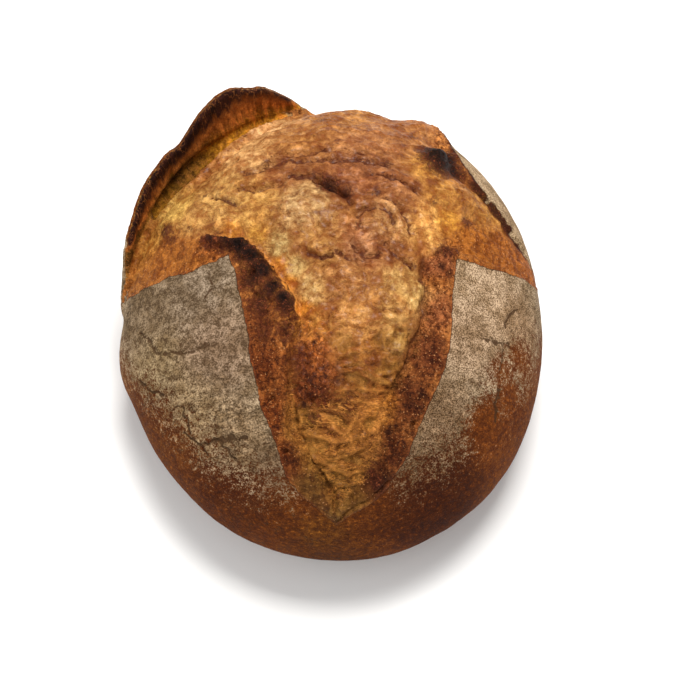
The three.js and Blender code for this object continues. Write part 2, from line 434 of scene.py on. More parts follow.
# Relief of the tear. Lines and patches are places on the map, a patch with its spread.
tear = {
    "rimLift": 1.7,  # flaps curl up along their torn edges
    "rimWidth": 10,
    "crestHeight": 6.0,  # burnt crest between the front left flap and the bloom
    "gapDepth": 4.5,  # shadow gap between the bloom and the front right flap
    "bloomRise": 3.2,
    "bloomReach": 30,
    "frontSink": 3.4,  # the narrow front end of the bloom lies lower
    "leftSink": 1.8,  # where the bloom meets the crest
    "backSink": 2.4,  # where it meets the back flaps
    "earGap": 7.0,  # between the bloom and the ear's inner face
    "lumps": [  # place, height, spread
        ((57, 77), 7.5, 6.8), ((-98, 41), 4.5, 6.5), ((62, 12), 3.0, 6.0), ((75, 37), 1.8, 6.0),
        ((54, 112), 7.0, 12), ((-155, -30), 4.0, 27), ((-62, 20), 2.2, 6.0), ((-45, 12), 2.0, 6.0),
        ((-34, -4), 1.5, 6.0), ((-23, -17), 2.2, 6.0), ((28, 50), 1.6, 12), ((-14, 40), 1.4, 10),
        ((5, 8), 1.2, 10), ((-10, -20), 1.2, 9), ((20, -10), 1.2, 10), ((-2, 46), -1.6, 5),
        ((-43, -3), -3.0, 4.0), ((-42, -18), -2.2, 3.6), ((-36, -28), -1.8, 4.0), ((-31, -60), -1.6, 4.5),
        ((-22, 2), -1.6, 6.0), ((-32, 13), -1.4, 6.0), ((10, 20), -1.4, 7), ((-4, 24), -1.2, 6),
        ((20, 4), -1.2, 5), ((-55, 36), 1.5, 10), ((-5, 90), 1.5, 14),
    ],
    "folds": [
        [(-46, 60), (-37, 62), (-22, 65), (-4, 62), (14, 61), (27, 59)],
        [(-22, 54), (-10, 51), (-3, 46), (6, 40)],
    ],
    "creases": [
        [(-30, 69), (-12, 68), (2, 70), (16, 66)],
        [(-9, 49), (-3, 45), (4, 41), (8, 35)],
        [(12, 27), (18, 32), (26, 31), (31, 26)],
        [(25, 38), (33, 35), (39, 27), (41, 22)],
        [(18, 52), (30, 50), (44, 46)],
        [(-50, 50), (-38, 47), (-26, 49)],
        [(-66, 50), (-58, 46), (-50, 40)],
        [(28, 14), (37, 6), (44, 2)],
        [(10, 12), (17, 6), (26, 8)],
        [(-14, 8), (-6, 4), (2, 6), (9, 2)],
    ],
    "rumpled": [((10, 10), 24), ((-2, -20), 22), ((30, 28), 16), ((30, -30), 18), ((-20, 30), 14)],
    "creaseDepth": 2.6,
    "creaseWidth": 1.35,
    "crackDepth": 1.1,
    "cracks": [
        [(-118, -22), (-109, -30), (-101, -40), (-80, -42), (-66, -40)],
        [(-92, -72), (-86, -70), (-82, -76), (-80, -84)],
        [(-84, -84), (-72, -90), (-68, -96)],
        [(-72, -90), (-60, -88), (-44, -86)],
        [(-60, -88), (-54, -94), (-51, -98)],
        [(-70, 0), (-66, -8), (-72, -14)],
        [(82, -33), (90, -35), (99, -33), (106, -36)],
        [(99, -33), (96, -44), (94, -52)],
        [(93, -60), (90, -68), (91, -76)],
        [(-118, -52), (-108, -60), (-98, -62)],
        [(112, -10), (104, -16), (100, -24)],
    ],
    "crumbly": [((-12, -42), 11), ((-6, -56), 11), ((-14, -66), 9)],
    "frontRidge": [(-14, -90), (-9, -97), (-3, -104), (3, -112), (6, -118)],
    "frontSlit": [(28, -104), (20, -110), (12, -116), (3, -125)],
    "strands": [
        [(34, -64), (24, -58), (12, -54), (2, -53)],
        [(33, -66), (22, -63), (12, -61), (0, -62)],
        [(31, -70), (22, -70), (10, -67)],
        [(32, -44), (20, -42), (8, -44)],
        [(30, -50), (18, -48), (6, -50)],
        [(-19, -84), (-8, -86), (6, -86), (20, -84)],
        [(-13, -96), (-4, -97), (6, -95), (16, -90)],
        [(-20, -68), (-14, -76), (-16, -84)],
        [(-9, -72), (0, -78), (8, -85)],
        [(12, -74), (8, -82), (12, -92)],
        [(-4, -98), (6, -104), (16, -102)],
    ],
    "strandHeight": 1.1,
}


# Heights and depths of the finer relief
relief = {
    "swell": 1.1,  # broad unevenness of the whole crust
    "flapGrain": 0.4,
    "bloomSwell": 1.4,
    "wrinkles": 1.6,
    "puffs": (0.3, 4.0),  # everywhere on the bloom, and more where it is rumpled
    "crumb": 1.9,
    "pits": 2.6,
    "crestCrumb": 2.6,
    "crestRidges": 1.8,
    "slopeRidges": 1.3,
    "crumblyCrumb": 2.2,
    "crumblyPits": 2.8,
    "fibres": 2.6,
    "net": 0.9,
    "windows": 1.3,
    "frontRidge": 1.7,
    "frontSlit": 1.8,
}


def wobble(spots, points, size, amount, seed):
    # shifts places on the map a little, so that edges aren't ruled lines
    return spots + amount * shifts(points, size, seed, 2)


def wandering(spots, points):
    # places shifted alike for a crease's hollow and for its colour
    return wobble(spots, points, 3, 1.2, 66)


def jagged(spots, points):
    # the same for the cracks in the flour
    return wobble(spots, points, 3.5, 1.6, 65)


def nearestLine(spots, lines, width):
    return bump(np.min([distanceToLine(spots, line) for line in lines], axis=0), width)


def crustMap(points):
    # everything that the relief and the colours need to know about a point of the crust
    spots, bearing, reach, off = readCrust(points)
    spots = wobble(spots, points, 14, 1.3, 20)
    spots = wobble(spots, points, 4, 0.6, 22)
    flaps, bloom = tearDepths(spots)
    # torn edges inside the opening are more ragged than the flaps' own cut edges
    bloom = bloom + 1.6 * softNoise(points, 6, 24) + 0.8 * softNoise(points, 2.6, 25)
    length = np.linalg.norm(spots, axis=1)
    flap = np.max(list(flaps.values()), axis=0)
    names = list(flaps)
    side = {name: np.argmax(list(flaps.values()), axis=0) == names.index(name) for name in names}
    across = np.clip(-flap / np.maximum(-flap - bloom, 0.01), 0, 1)  # 0 at a flap's edge, 1 at the bloom's
    degrees = np.degrees(bearing)
    earSide = ramp(degrees, 92, 98) * (1 - ramp(degrees, 174, 180))
    return {
        "spots": spots, "bearing": bearing, "degrees": degrees, "reach": reach, "length": length,
        "flaps": flaps, "flap": flap, "bloom": bloom, "side": side, "across": across,
        "open": 1 - ramp(length, *score["closing"]), "earSide": earSide,
        "onEar": ramp(off, 0.05, 0.12) * earSide * ramp(reach, 0.78, 0.84),
        "x": spots[:, 0], "y": spots[:, 1],
    }


def tearLift(crust):
    x, y, flap, bloom, across = (crust[key] for key in ("x", "y", "flap", "bloom", "across"))
    spots, opened, side = crust["spots"], crust["open"], crust["side"]
    inBand = (flap < 0) & (bloom < 0)
    lift = np.where(flap > 0, tear["rimLift"] * opened * np.exp(-flap / tear["rimWidth"]), 0)
    # front left: a rough slope up to a crest, high at the flap's corner and low at the front
    crest = tear["crestHeight"] * (0.25 + 0.75 * ramp(y, -62, -18)) * ramp(x, -92, -62)
    leftBand = crest * ramp(across, 0.1, 0.72) * (1 - 0.5 * ramp(across, 0.88, 1))
    lift = np.where(inBand & side["frontLeft"], tear["rimLift"] * opened * (1 - across) + leftBand, lift)
    # front right: a slope that falls away to the shadow gap
    rightBand = tear["rimLift"] + 0.9 * bump(across - 0.3, 0.3) - 3.6 * ramp(across, 0.45, 1)
    lift = np.where(inBand & side["frontRight"] & (y < 14), rightBand * opened, lift)
    # back flaps: the crust's broken edge, then down to the bloom
    backBand = tear["rimLift"] * 1.6 * (1 - ramp(across, 0, 0.7)) - 1.5 * across
    lift = np.where(inBand & (side["backRight"] | side["backLeft"]), backBand * opened, lift)
    # bloom
    inside = bloom > 0
    swell = tear["bloomRise"] * ramp(bloom, 0, tear["bloomReach"])
    swell -= tear["frontSink"] * ramp(-y, 38, 72) * (1 - ramp(-y, 108, 124))
    nearRight = side["frontRight"] * ramp(y, -75, -50) * (1 - ramp(y, 4, 12))
    nearLeft = side["frontLeft"] * (1 - ramp(y, 16, 26))
    swell -= tear["gapDepth"] * nearRight * bump(bloom - 1.2, 2.6)
    swell -= tear["leftSink"] * nearLeft * bump(bloom - 2.0, 3.0)
    nearBack = side["backRight"] | side["backLeft"]
    swell -= tear["backSink"] * nearBack * opened * bump(bloom - 1.0, 3.5)
    lift = np.where(inside, swell * np.maximum(opened, 0.15), lift)
    # under the ear the crust drops into a hollow
    underEar = ramp(crust["flaps"]["backLeft"], -0.5, 5) * (1 - ramp(crust["flaps"]["backLeft"], 16, 26))
    underEar *= (0.3 + 0.7 * ramp(crust["degrees"], 118, 134)) * ramp(crust["degrees"], 98, 108)
    underEar *= 1 - ramp(crust["degrees"], 158, 172)
    lift -= tear["earGap"] * underEar
    return lift + sum(height * blob(spots, place, spread) for place, height, spread in tear["lumps"])


def roughLift(crust, points):
    # lumps, blisters, wrinkles and strands, each kept to its own part of the crust
    spots, x, y, across = (crust[key] for key in ("spots", "x", "y", "across"))
    bloom, flap, side = (crust[key] for key in ("bloom", "flap", "side"))
    inBloom = ramp(bloom, 0, 4)
    inBand = ramp(-flap, 0, 1.5) * ramp(-bloom, -0.5, 1.5)
    onFlap = ramp(flap, 0, 3)
    front = ramp(-y, 42, 66) * inBloom
    fibrous = ramp(-y, 22, 50) * inBloom
    top = inBloom * (1 - front)
    lift = relief["swell"] * softNoise(points, 42, 30)
    lift += relief["flapGrain"] * layeredNoise(points, 12, 31, 3) * onFlap
    lift += relief["bloomSwell"] * top * softNoise(points, 24, 33)
    flow = points + 5 * shifts(points, 17, 34)
    flow += 1.6 * shifts(points, 5, 50)
    # wrinkles lie across the loaf towards the back, and anyhow at the middle
    drawn = np.where((y > 34)[:, None], flow * (0.45, 1.2, 1.2), flow)
    wrinkle = ridgedNoise(drawn, 11, 37, 4)
    puffs = puffyNoise(flow, 13, 39, 4)
    back = ramp(y, 30, 56)
    lift += top * (1.0 + 0.3 * back) * relief["wrinkles"] * (wrinkle - 0.55)
    rumpled = blobs(spots, tear["rumpled"])
    plainPuffs, rumpledPuffs = relief["puffs"]
    lift += top * (plainPuffs + rumpledPuffs * rumpled) * (puffs - 0.45)
    # torn bands: coarse, pitted crumb, roughest along the crest
    shaken = points + 1.6 * shifts(points, 4.5, 40)
    coarse = cellDistances(shaken, 5.2, 43)[0]
    small = cellDistances(shaken, 2.6, 44)[0]
    burnt = inBand * side["frontLeft"] * ramp(y, -50, -20) * ramp(x, -80, -64) * ramp(across, 0.3, 0.7)
    slope = inBand * (side["backLeft"] | side["frontLeft"]) * ramp(-x, 62, 80) * ramp(y, -2, 8)
    slope = np.maximum(slope, inBand * ramp(x, 62, 78) * ramp(y, 2, 12))
    slope = np.maximum(slope, inBand * ramp(-y, 94, 106))
    pitted = bump(coarse, 0.42) * ramp(layeredNoise(points, 9, 61, 2), -0.15, 0.3)
    pitted = np.maximum(pitted, 0.45 * bump(small, 0.45) * ramp(softNoise(points, 7, 63), -0.3, 0.3))
    pitted *= 1 - 0.95 * ramp(-y, 92, 102)
    lift += inBand * (1 - 0.65 * slope) * (relief["crumb"] * layeredNoise(points, 5, 45, 3, 0.65)
                                           - relief["pits"] * pitted)
    lift += burnt * (relief["crestCrumb"] * layeredNoise(points, 5.5, 55, 3, 0.6)
                     + relief["crestRidges"] * (ridgedNoise(points, 5, 57, 2) - 0.5))
    lift += slope * relief["slopeRidges"] * (ridgedNoise(points * (0.6, 1, 0.5), 6, 59, 3) - 0.5)
    # front: drawn-out strands over thin membranes
    drawnOut = flow * (0.42, 1.25, 1.0) + points * (0, 0.25, 0)
    fibre = ridgedNoise(drawnOut, 7, 47, 3)
    first, second = cellDistances(flow * (0.62, 1, 1), 10.5, 46)
    net = bump(second - first, 0.1)
    window = ramp(second - first, 0.1, 0.3) * ramp(softNoise(points, 13, 67), -0.2, 0.1)
    window = window * ramp(-y, 26, 40) * inBloom
    crumbly = blobs(spots, tear["crumbly"]) * inBloom
    window *= 1 - crumbly
    lift += crumbly * (relief["crumblyCrumb"] * layeredNoise(points, 5.5, 69, 3, 0.65)
                       - relief["crumblyPits"] * pitted)
    strands = nearestLine(spots, tear["strands"], 0.9)
    lift += (fibrous * relief["fibres"] * (1 - 0.7 * window) * (1 - 0.7 * crumbly) * (fibre - 0.5)
             + front * relief["net"] * net - relief["windows"] * window)
    lift += inBloom * tear["strandHeight"] * strands
    creased, cracked = wandering(spots, points), jagged(spots, points)
    lift -= inBloom * tear["creaseDepth"] * nearestLine(creased, tear["creases"], tear["creaseWidth"])
    lift -= inBloom * tear["creaseDepth"] * nearestLine(creased, tear["folds"], 1.5 * tear["creaseWidth"])
    cracks = nearestLine(cracked, tear["cracks"], 0.9) - 0.5 * nearestLine(cracked, tear["cracks"], 3)
    lift -= tear["crackDepth"] * ramp(flap, 0, 3) * cracks
    lift += relief["frontRidge"] * nearestLine(spots, [tear["frontRidge"]], 1.6)
    lift -= relief["frontSlit"] * nearestLine(spots, [tear["frontSlit"]], 0.9)
    masks = {
        "ridge": wrinkle,
        # where painted shade goes: the valleys between the puffs
        "valleyShade": (1 - ramp(puffs, 0.16, 0.4)) * (0.3 + 0.7 * rumpled),
        "puff": ramp(puffs, 0.45, 0.8),
        "strand": np.maximum(np.maximum(0.35 * net, 0.8 * strands) * front,
                             0.6 * fibrous * ramp(fibre, 0.78, 0.95)),
        "window": window,
        "crumbly": crumbly,
        "shadedPit": pitted,
        # the pits, which also get painted shade
        "slope": slope,
    }
    return lift, masks


def pushOut(piece, amount):
    points = readPoints(piece)
    base = ramp(points[:, 2], 0.5, 9)  # the underside stays flat
    writePoints(piece, points + readNormals(piece) * (amount * base)[:, None])


# Where each finish goes. Colours are screen colours, 0 to 255, and strength scales each finish's washes.
# A wash is (place, size, colour): a soft-edged patch of colour on the map.
finishes = {
    "strength": {"torn": (0.73, 0.7, 0.59), "flour": (0.7, 0.7, 0.69), "bake": (0.8, 0.69, 0.42)},
    # how far from the crown the flour reaches, by bearing in degrees
    "flourReach": [(-180, 156), (-165, 140), (-150, 125), (-135, 117), (-115, 117), (-104, 111), (-98, 104),
                   (-90, 100), (-82, 103), (-75, 107), (-60, 110), (-45, 112), (-30, 123), (-15, 134),
                   (0, 150), (45, 152), (90, 140), (135, 146), (180, 158)],
    "bareSpots": [((94, -48), 14), ((84, -74), 13), ((108, -38), 12), ((100, -62), 10), ((20, -118), 8)],
    "bareDepth": 25,
    "charSpots": [  # place, size, strength
        ((57, 76), 11, 1.7), ((63, 84), 9, 1.4), ((67, 76), 7, 1.2), ((50, 72), 6, 0.7),
        ((-98, 40), 5, 0.8), ((-94, 32), 5, 0.6), ((-62, 20), 7, 0.95), ((-53, 17), 8, 1.1),
        ((-45, 11), 10, 1.15), ((-37, -1), 10, 1.1), ((-29, -13), 9, 1.05), ((-21, -22), 8, 1.0),
        ((-54, 19), 5, 1.5), ((-48, 14), 6, 1.5), ((-41, 6), 5, 1.5), ((-35, -3), 5, 1.4),
        ((-29, -12), 4.5, 1.4), ((-23, -19), 4.5, 1.4), ((-43, -5), 10, 0.95), ((-38, -20), 10, 0.8),
        ((-34, -34), 9, 0.5), ((-22, -34), 8, 0.6), ((-16, -48), 9, 0.5), ((-3, 46), 6, 1.0),
        ((5, 42), 5, 0.8), ((75, 37), 5, 0.6), ((60, 14), 5, 0.75), ((66, 13), 4, 0.6),
        ((22, 41), 2.4, 0.7), ((12, 22), 2.6, 0.6), ((27, 62), 3.5, 0.6), ((-6, 96), 4, 0.5),
        ((43, 92), 4, 0.5), ((-34, 65), 4, 0.4), ((72, 74), 5, 0.9), ((53, 43), 3.5, 0.45),
        ((-82, 34), 4, 0.4), ((44, 3), 3, 0.4), ((17, 4), 3, 0.5), ((-69, 52), 5, 0.3),
        ((-9, -76), 3.5, 0.6), ((21, -104), 4, 0.6), ((50, -6), 3, 0.7), ((-86, 21), 5, 0.35),
    ],
    "tornGround": (168, 104, 50),
    "tornWashes": [
        # bloom, back to front
        ((0, 110), 26, (190, 126, 66)), ((-30, 104), 14, (255, 200, 144)),
        ((45, 105), 18, (190, 122, 66)), ((20, 80), 20, (176, 112, 66)), ((-20, 88), 16, (186, 122, 64)),
        ((-45, 78), 14, (228, 170, 112)), ((-30, 92), 10, (230, 172, 118)), ((46, 66), 9, (200, 136, 62)),
        ((12, 52), 12, (156, 92, 54)), ((30, 44), 12, (172, 108, 64)), ((-20, 58), 10, (170, 108, 62)),
        ((-60, 50), 15, (204, 150, 84)), ((-75, 38), 9, (208, 150, 84)), ((-95, 56), 13, (214, 164, 84)),
        ((-120, 44), 12, (204, 142, 66)), ((-40, 36), 12, (206, 150, 80)),
        ((-14, 34), 12, (206, 160, 108)), ((-28, 14), 6, (206, 168, 108)), ((-20, 2), 5, (208, 168, 108)),
        ((-12, -12), 7, (210, 164, 104)), ((-6, 12), 10, (190, 132, 72)), ((14, 12), 10, (184, 122, 82)),
        ((8, -8), 10, (178, 118, 66)), ((28, 28), 10, (200, 144, 90)), ((26, 8), 9, (180, 116, 70)),
        ((48, 30), 10, (232, 166, 92)), ((62, 34), 7, (212, 142, 50)), ((58, 48), 9, (196, 132, 60)),
        ((88, 52), 12, (190, 128, 60)), ((52, 20), 6, (216, 152, 80)), ((36, -6), 9, (206, 156, 92)),
        ((46, -16), 7, (214, 170, 104)), ((30, -26), 9, (198, 142, 80)), ((10, -28), 9, (196, 134, 72)),
        ((-10, -32), 7, (196, 128, 56)),
        # bright orange rim beside the crest
        ((-30, 2), 5, (222, 138, 46)), ((-23, -10), 4, (226, 140, 44)), ((-14, -24), 4.5, (220, 132, 40)),
        ((-40, 22), 5, (216, 150, 62)), ((-54, 26), 5, (206, 128, 48)),
        # narrow front end
        ((-8, -46), 9, (146, 80, 32)), ((14, -46), 9, (164, 102, 44)), ((32, -38), 6, (168, 122, 62)),
        ((-12, -60), 9, (104, 50, 20)), ((10, -62), 8, (124, 68, 26)), ((28, -54), 6, (176, 122, 56)),
        ((22, -76), 7, (168, 108, 44)), ((28, -67), 5, (196, 124, 42)), ((-14, -79), 7, (124, 88, 34)),
        ((2, -74), 8, (96, 46, 17)), ((-8, -92), 8, (140, 98, 42)), ((12, -94), 8, (124, 78, 32)),
        ((8, -110), 8, (118, 82, 36)), ((-10, -108), 7, (112, 74, 32)), ((-14, -118), 7, (112, 72, 32)),
        ((10, -84), 6, (122, 74, 28)), ((-2, -102), 6, (120, 86, 36)),
        ((0, -126), 8, (126, 90, 42)),
        # bands
        ((-42, -34), 9, (112, 58, 24)), ((-34, -50), 9, (106, 52, 20)), ((-28, -74), 8, (108, 52, 18)),
        ((-22, -94), 7, (104, 52, 20)), ((54, -22), 8, (134, 76, 44)), ((46, -44), 9, (96, 48, 24)),
        ((36, -66), 9, (84, 40, 18)), ((28, -88), 8, (82, 38, 14)), ((22, -104), 7, (72, 34, 14)),
        ((58, 4), 6, (132, 74, 44)), ((-80, 14), 11, (158, 94, 36)), ((-100, 20), 12, (164, 98, 38)),
        ((-125, 20), 14, (176, 112, 48)), ((-145, 22), 12, (152, 92, 44)), ((-68, 16), 6, (140, 76, 32)),
        ((84, 24), 12, (164, 96, 34)), ((104, 26), 13, (168, 98, 38)), ((125, 26), 14, (162, 92, 38)),
    ],
    "flourGround": (160, 134, 104),
    # the left flap's washes are darker than the right flap's, partly as painted shade
    "flourWashes": [
        ((-75, -5), 24, (134, 112, 90)), ((-110, -10), 22, (126, 102, 76)),
        ((-60, -40), 20, (134, 106, 82)), ((-105, -45), 16, (142, 116, 82)),
        ((-80, -75), 18, (158, 128, 92)), ((-50, -88), 14, (146, 116, 84)),
        ((-30, -100), 10, (120, 92, 66)), ((90, -5), 22, (180, 148, 116)),
        ((75, -35), 18, (164, 132, 102)), ((55, -75), 14, (138, 106, 76)), ((40, -95), 12, (128, 98, 70)),
        ((110, -20), 16, (150, 116, 84)), ((105, 60), 22, (178, 146, 110)),
        ((75, 100), 26, (176, 144, 108)),
    ],
    "bakeGround": (112, 62, 26),
    "bakeWashes": [
        ((-110, -80), 22, (112, 62, 24)), ((-60, -125), 22, (92, 46, 16)), ((-4, -136), 10, (112, 68, 28)),
        ((60, -125), 24, (70, 32, 12)), ((110, -80), 24, (116, 64, 30)), ((135, -30), 20, (116, 66, 32)),
        ((0, -165), 22, (88, 48, 18)),
        ((-140, -30), 20, (120, 74, 36)),
    ],
}


def toLinear(screen):
    # screen colour, 0 to 255, to the linear values that a shader takes
    share = np.array(screen) / 255
    return np.where(share <= 0.04045, share / 12.92, ((share + 0.055) / 1.055) ** 2.4)


def blendWashes(spots, name):
    total = np.tile(np.array(finishes[name + "Ground"]) * 0.08, (len(spots), 1))
    weight = np.full(len(spots), 0.08)
    for place, size, color in finishes[name + "Washes"]:
        share = blob(spots, place, size) ** 1.5
        total += share[:, None] * color
        weight += share
    return finishes["strength"][name] * toLinear(total / weight[:, None])


def charMarks(crust):
    x, y, flap, bloom = (crust[key] for key in ("x", "y", "flap", "bloom"))
    char = np.max([strength * blob(crust["spots"], place, size)
                   for place, size, strength in finishes["charSpots"]], axis=0)
    # the bloom itself stays pale beside the burnt crest
    char *= np.where((bloom > 1) & (y < 26) & (x < -10) & (y > -30), 0.25, 1)
    # the back right flap's lip is burnt too
    lip = (flap < 2.5) * (flap > -5) * crust["side"]["backRight"]
    lip = lip * ramp(x, 60, 68) * (1 - ramp(x, 118, 132))
    return np.maximum(char, 0.9 * lip * bump(flap + 0.5, 2.0))


def glowMarks(crust):
    y, side = crust["y"], crust["side"]
    leftGlow = np.maximum(ramp(y, -32, -24) * (1 - ramp(y, 20, 30)), 0.4 * ramp(-y, 62, 72))
    glow = np.maximum(side["frontLeft"] * leftGlow, 0.75 * side["frontRight"] * ramp(-y, 6, 34))
    return bump(crust["bloom"] - 0.8, 2.1) * (crust["flap"] < 0) * glow * (1 - ramp(-y, 84, 100))


def earMarks(crust, points, normals):
    # which points are on the ear, on its inside and on the wall below it, and how high up they are
    degrees, reach, height = crust["degrees"], crust["reach"], points[:, 2]
    outwards = np.stack([np.cos(crust["bearing"]), np.sin(crust["bearing"])], 1)
    facing = np.sum(normals[:, :2] * outwards, axis=1)
    onEar = ramp(crust["onEar"], 0.2, 0.7)
    bearings, heights = np.array(ear["rim"], float).T
    rimHeight = np.interp(-degrees, -bearings, heights, 0, 0)
    # below the rim's own wall, the loaf's side is still the flap's skin
    outerWall = crust["earSide"] * ramp(reach, 0.97, 0.985) * ramp(facing, 0.6, 0.8) > 0.5
    groove = (1 - ramp(reach, 0.985, 1)) * (1 - ramp(facing, 0.7, 0.9))
    root = ramp(crust["flaps"]["backLeft"], -0.5, 1.5)
    root *= np.maximum(1 - ramp(reach, 0.955, 0.975), groove)
    root *= ramp(rimHeight - height, -3, 2) * ramp(height, 52, 58) * (1 - outerWall)
    inside = np.maximum(onEar * (1 - ramp(facing, -0.1, 0.3)), root)
    rise = np.clip((height - 70) / np.maximum(rimHeight - 70, 6), 0, 1.2) * ramp(reach, 0.9, 0.94)
    return onEar, outerWall, root, inside, rise


def markFinishes(piece, points, normals):
    # writes one number or colour per point for each finish, which the crust's material reads
    crust = crustMap(points)
    values = roughLift(crust, points)[1]
    spots, x, y, degrees = (crust[key] for key in ("spots", "x", "y", "degrees"))
    flap, bloom, side = (crust[key] for key in ("flap", "bloom", "side"))
    onEar, outerWall, root, earInside, earRise = earMarks(crust, points, normals)
    bearings, reaches = np.array(finishes["flourReach"], float).T
    flour = np.interp(degrees, bearings, reaches) - crust["length"]
    flour -= finishes["bareDepth"] * blobs(spots, finishes["bareSpots"])
    creased, cracked = wandering(spots, points), jagged(spots, points)
    # where painted shade goes along the creases and folds
    creaseShade = np.maximum(nearestLine(creased, tear["creases"], 1.9),
                        nearestLine(creased, tear["folds"], 3.3))
    flapSkin = np.where(onEar > 0.5, np.where(earInside > 0.5, -8, 8), np.where(outerWall, 8, flap))
    # painted shade in the hollow under the ear, between its inner face and the bloom
    hollowShade = ramp(degrees, 122, 134) * (1 - ramp(degrees, 166, 176))
    hollowShade *= 0.72 + 0.28 * layeredNoise(points, 9, 71, 2) - 0.3 * bump(degrees - 148, 7)
    values.update({
        "flapDepth": flapSkin,
        "bloomDepth": np.where(onEar > 0.5, -8, bloom + 5 * crust["earSide"] * side["backLeft"]),
        "flourDepth": np.where(onEar > 0.5, 22 - 46 * ramp(earRise, 0.55, 1.05), flour),
        "charring": np.clip(charMarks(crust), 0, 1.4) * (1 - onEar) * (1 - root),
        "creaseShade": creaseShade * (1 - onEar),
        "crack": nearestLine(cracked, tear["cracks"], 1.7) * ramp(flap, 0, 2),
        # painted shade in the shadow gap between the bloom and the front right flap
        "gapShade": side["frontRight"] * ramp(y, -80, -60) * (1 - ramp(y, 4, 12)) * bump(bloom - 0.6, 1.7),
        "front": ramp(-y, 42, 70) * (1 - onEar),
        "rightSide": ramp(x, -10, 25),
        "glow": glowMarks(crust),
        "hollowShade": hollowShade,
        "bridge": bump(degrees - 134, 3.5),
        "earInside": earInside,
        "earHeight": earRise * (0.9 + 0.35 * ramp(degrees, 112, 124)),
    })
    for name, value in values.items():
        layer = piece.data.attributes.new(name, "FLOAT", "POINT")
        layer.data.foreach_set("value", np.asarray(value, np.float32))
    for name in ("torn", "flour", "bake"):
        color = np.hstack([blendWashes(spots, name), np.ones((len(spots), 1))])
        layer = piece.data.attributes.new(name + "Tint", "FLOAT_COLOR", "POINT")
        layer.data.foreach_set("color", color.astype(np.float32).ravel())


class NodeBench:
    # short ways to add the nodes of one material
    def __init__(self, name):
        self.material = bpy.data.materials.new(name)
        self.material.use_nodes = True
        self.tree = self.material.node_tree
        self.shader = self.tree.nodes["Principled BSDF"]
        self.place = self.add("ShaderNodeTexCoord").outputs["Object"]

    def add(self, kind, **settings):
        node = self.tree.nodes.new(kind)
        for key, value in settings.items():
            setattr(node, key, value)
        return node

    def plug(self, value, socket):
        if isinstance(value, bpy.types.NodeSocket):
            self.tree.links.new(value, socket)
        else:
            socket.default_value = value

    def mark(self, name, output="Fac"):
        return self.add("ShaderNodeAttribute", attribute_name=name).outputs[output]

    def compute(self, operation, first, second=0.0, third=0.0, clamp=False):
        node = self.add("ShaderNodeMath", operation=operation, use_clamp=clamp)
        for value, socket in zip((first, second, third), node.inputs):
            self.plug(value, socket)
        return node.outputs[0]

    def plus(self, first, second):
        return self.compute("ADD", first, second)

    def minus(self, first, second):
        return self.compute("SUBTRACT", first, second)

    def times(self, first, second):
        return self.compute("MULTIPLY", first, second)

    def timesPlus(self, first, factor, extra):
        return self.compute("MULTIPLY_ADD", first, factor, extra)

    def larger(self, first, second):
        return self.compute("MAXIMUM", first, second)

    def around(self, pattern, strength):
        # a pattern about 0 instead of about a half
        return self.times(self.minus(pattern, 0.5), strength)

    def stretched(self, stretch):
        mapping = self.add("ShaderNodeMapping")
        mapping.inputs["Scale"].default_value = stretch
        self.plug(self.place, mapping.inputs["Vector"])
        return mapping.outputs["Vector"]

    def noise(self, size, detail=2.0, rough=0.5, stretch=None, twist=0.0):
        # size is the width of one patch in millimetres
        node = self.add("ShaderNodeTexNoise")
        node.inputs["Scale"].default_value = 1 / (size * toMetres)
        node.inputs["Detail"].default_value = detail
        node.inputs["Roughness"].default_value = rough
        node.inputs["Distortion"].default_value = twist
        self.plug(self.stretched(stretch) if stretch else self.place, node.inputs["Vector"])
        return node.outputs["Fac"]

    def shaken(self, size, amount):
        # the object's coordinates, shifted about by noise
        node = self.add("ShaderNodeTexNoise")
        node.inputs["Scale"].default_value = 1 / (size * toMetres)
        self.plug(self.place, node.inputs["Vector"])
        shift = self.add("ShaderNodeVectorMath", operation="MULTIPLY_ADD")
        self.plug(node.outputs["Color"], shift.inputs[0])
        shift.inputs[1].default_value = (amount * toMetres,) * 3
        self.plug(self.place, shift.inputs[2])
        return shift.outputs[0]

    def hairs(self, size, width, stretch=None, twist=0.0):
        # thin winding lines, 1 on a line and 0 off it
        away = self.compute("ABSOLUTE", self.minus(self.noise(size, 3, 0.55, stretch, twist), 0.5))
        return self.between(away, 0.0, width, 1, 0)

    def between(self, value, start, end, low=0.0, high=1.0):
        node = self.add("ShaderNodeMapRange", interpolation_type="SMOOTHSTEP")
        for part, socket in zip((value, start, end, low, high), node.inputs):
            self.plug(part, socket)
        return node.outputs[0]

    def mix(self, share, first, second, blend="MIX"):
        node = self.add("ShaderNodeMix", data_type="RGBA", blend_type=blend)
        self.plug(share, node.inputs["Factor"])
        self.plug(first, [s for s in node.inputs if s.name == "A" and s.type == "RGBA"][0])
        self.plug(second, [s for s in node.inputs if s.name == "B" and s.type == "RGBA"][0])
        return [s for s in node.outputs if s.type == "RGBA"][0]

    def toned(self, tint, tone, dark, light):
        # tint, made darker where tone is 0 and lighter where it is 1
        shades = self.mix(tone, (*dark, 1), (*light, 1))
        return self.mix(1.0, tint, shades, "MULTIPLY")

    def darker(self, tint, dark):
        return self.toned(tint, 0.0, dark, (1, 1, 1))

    def lighter(self, tint, light):
        return self.toned(tint, 1.0, (1, 1, 1), light)


